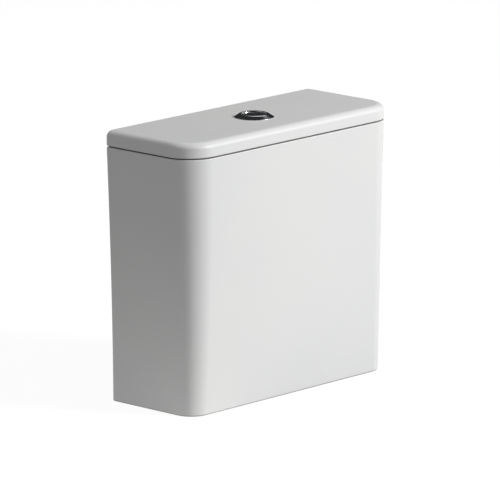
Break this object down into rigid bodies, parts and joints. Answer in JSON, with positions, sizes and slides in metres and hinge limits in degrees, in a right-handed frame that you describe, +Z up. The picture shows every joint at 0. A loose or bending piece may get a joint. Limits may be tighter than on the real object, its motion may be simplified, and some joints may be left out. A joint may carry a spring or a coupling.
{
  "type": "toilet cistern",
  "caption": "White glazed china toilet cistern with flared walls, a lift-off lid, a round dual-flush button, and a push-rod flush valve and a float fill valve inside.",
  "frame": {"origin": "on the standing surface, under the middle of the box around the whole cistern", "axes": "+X along the width to the right as seen from the front, +Y from the front to the wall, +Z up"},
  "size_m": [0.38, 0.146, 0.3509],
  "materials": {
    "glazed_china": "gloss",
    "chrome_plate": "polished",
    "white_plastic": "satin",
    "grey_plastic": "satin",
    "blue_plastic": "satin",
    "black_plastic": "satin",
    "black_rubber": "matte",
    "red_silicone": "satin",
    "steel": "bright"
  },
  "bodies": {
    "tank": {"tank": "glazed_china", "outlet_seat": "white_plastic", "outlet_washer": "black_rubber", "outlet_backnut": "white_plastic", "pan_seal": "black_rubber", "valve_tower": "white_plastic", "valve_head": "grey_plastic", "head_bridge": "grey_plastic", "lever_pins": "steel", "fill_riser": "white_plastic", "fill_washer": "black_rubber", "fill_backnut": "white_plastic", "inlet_strainer": "blue_plastic", "fill_sleeve": "grey_plastic", "fill_head": "white_plastic", "fill_diaphragm": "black_rubber", "fill_cap": "blue_plastic", "fill_lever_pin": "steel"},
    "lid": {"lid": "glazed_china", "button_bezel": "chrome_plate", "button_housing": "grey_plastic", "button_locknut": "white_plastic", "full_button_spring": "steel", "half_button_spring": "steel"},
    "full_button": {"full_flush_button": "chrome_plate", "full_push_rod": "white_plastic"},
    "half_button": {"half_flush_button": "chrome_plate", "half_push_rod": "white_plastic"},
    "full_plunger": {"full_plunger": "white_plastic"},
    "half_plunger": {"half_plunger": "blue_plastic"},
    "full_lever": {"full_lever": "white_plastic"},
    "half_lever": {"half_lever": "blue_plastic"},
    "flush_tube": {"overflow_tube": "white_plastic", "lift_collar": "grey_plastic", "seal_carrier": "white_plastic", "flush_seal": "red_silicone", "seal_clamp": "white_plastic"},
    "half_float": {"half_float_strap": "white_plastic", "half_float": "blue_plastic"},
    "fill_float": {"fill_float": "black_plastic", "fill_link_rod": "white_plastic"},
    "fill_lever": {"fill_lever": "grey_plastic"}
  },
  "joints": [
    {"name": "lid_lift", "type": "slide", "parent": "tank", "child": "lid", "axis": [0, 0, 1], "range_m": [0, 0.15]},
    {"name": "full_flush_press", "type": "slide", "parent": "lid", "child": "full_button", "axis": [0, 0, -1], "range_m": [0, 0.007], "stiffness_N_per_m": 250, "springref_m": -0.006, "deforming": ["full_button_spring"]},
    {"name": "half_flush_press", "type": "slide", "parent": "lid", "child": "half_button", "axis": [0, 0, -1], "range_m": [0, 0.007], "stiffness_N_per_m": 250, "springref_m": -0.006, "deforming": ["half_button_spring"]},
    {"name": "full_plunger_slide", "type": "slide", "parent": "tank", "child": "full_plunger", "axis": [0, 0, -1], "range_m": [0, 0.007]},
    {"name": "half_plunger_slide", "type": "slide", "parent": "tank", "child": "half_plunger", "axis": [0, 0, -1], "range_m": [0, 0.007]},
    {"name": "full_lever_rock", "type": "hinge", "parent": "tank", "child": "full_lever", "pos_m": [0.042, -0.002, 0.26212], "axis": [0, 1, 0], "range_deg": [0, 33.95]},
    {"name": "half_lever_rock", "type": "hinge", "parent": "tank", "child": "half_lever", "pos_m": [-0.042, -0.002, 0.26212], "axis": [0, -1, 0], "range_deg": [0, 33.95]},
    {"name": "flush_tube_lift", "type": "slide", "parent": "tank", "child": "flush_tube", "axis": [0, 0, 1], "range_m": [0, 0.0083]},
    {"name": "half_float_lift", "type": "slide", "parent": "tank", "child": "half_float", "axis": [0, 0, 1], "range_m": [0, 0.0083]},
    {"name": "fill_float_rise", "type": "slide", "parent": "tank", "child": "fill_float", "axis": [0, 0, 1], "range_m": [0, 0.014]},
    {"name": "fill_lever_rock", "type": "hinge", "parent": "tank", "child": "fill_lever", "pos_m": [-0.135, 0.004, 0.2925], "axis": [0, 1, 0], "range_deg": [0, 37.15]}
  ],
  "couplings": [
    {"joint": "full_plunger_slide", "follows": "full_flush_press", "ratio": 1},
    {"joint": "full_lever_rock", "follows": "full_flush_press", "rad_per_m": 84.563},
    {"joint": "flush_tube_lift", "follows": "full_flush_press", "ratio": 1.18},
    {"joint": "half_plunger_slide", "follows": "half_flush_press", "ratio": 1},
    {"joint": "half_lever_rock", "follows": "half_flush_press", "rad_per_m": 84.563},
    {"joint": "half_float_lift", "follows": "half_flush_press", "ratio": 1.18},
    {"joint": "fill_lever_rock", "follows": "fill_float_rise", "rad_per_m": 46.259}
  ]
}
